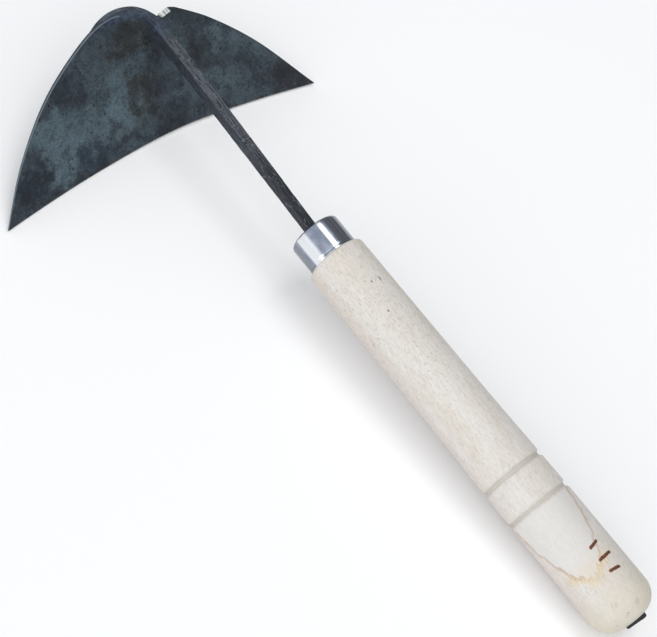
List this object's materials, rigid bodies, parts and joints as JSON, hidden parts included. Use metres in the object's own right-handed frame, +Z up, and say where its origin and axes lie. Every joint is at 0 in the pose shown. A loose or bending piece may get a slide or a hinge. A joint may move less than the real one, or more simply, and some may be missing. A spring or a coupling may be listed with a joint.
{
  "type": "hand hoe",
  "caption": "Short hand hoe with a dished half-moon blade forged in one with its gooseneck and tang, a steel ferrule and a turned, grooved wooden handle.",
  "frame": {"origin": "on the floor, under the middle of the tool's bounding box, with the tool lying on its cutting edge and the round of its butt", "axes": "+X from the butt to the blade, +Y to the tool's left, +Z up"},
  "size_m": [0.366, 0.194, 0.0568],
  "materials": {
    "forged_steel": "black forge scale, satin",
    "plated_steel": "polished plating",
    "raw_wood": "sanded, unvarnished"
  },
  "bodies": {
    "root": {"forged_head": "forged_steel", "ferrule": "plated_steel", "handle": "raw_wood"}
  },
  "joints": []
}
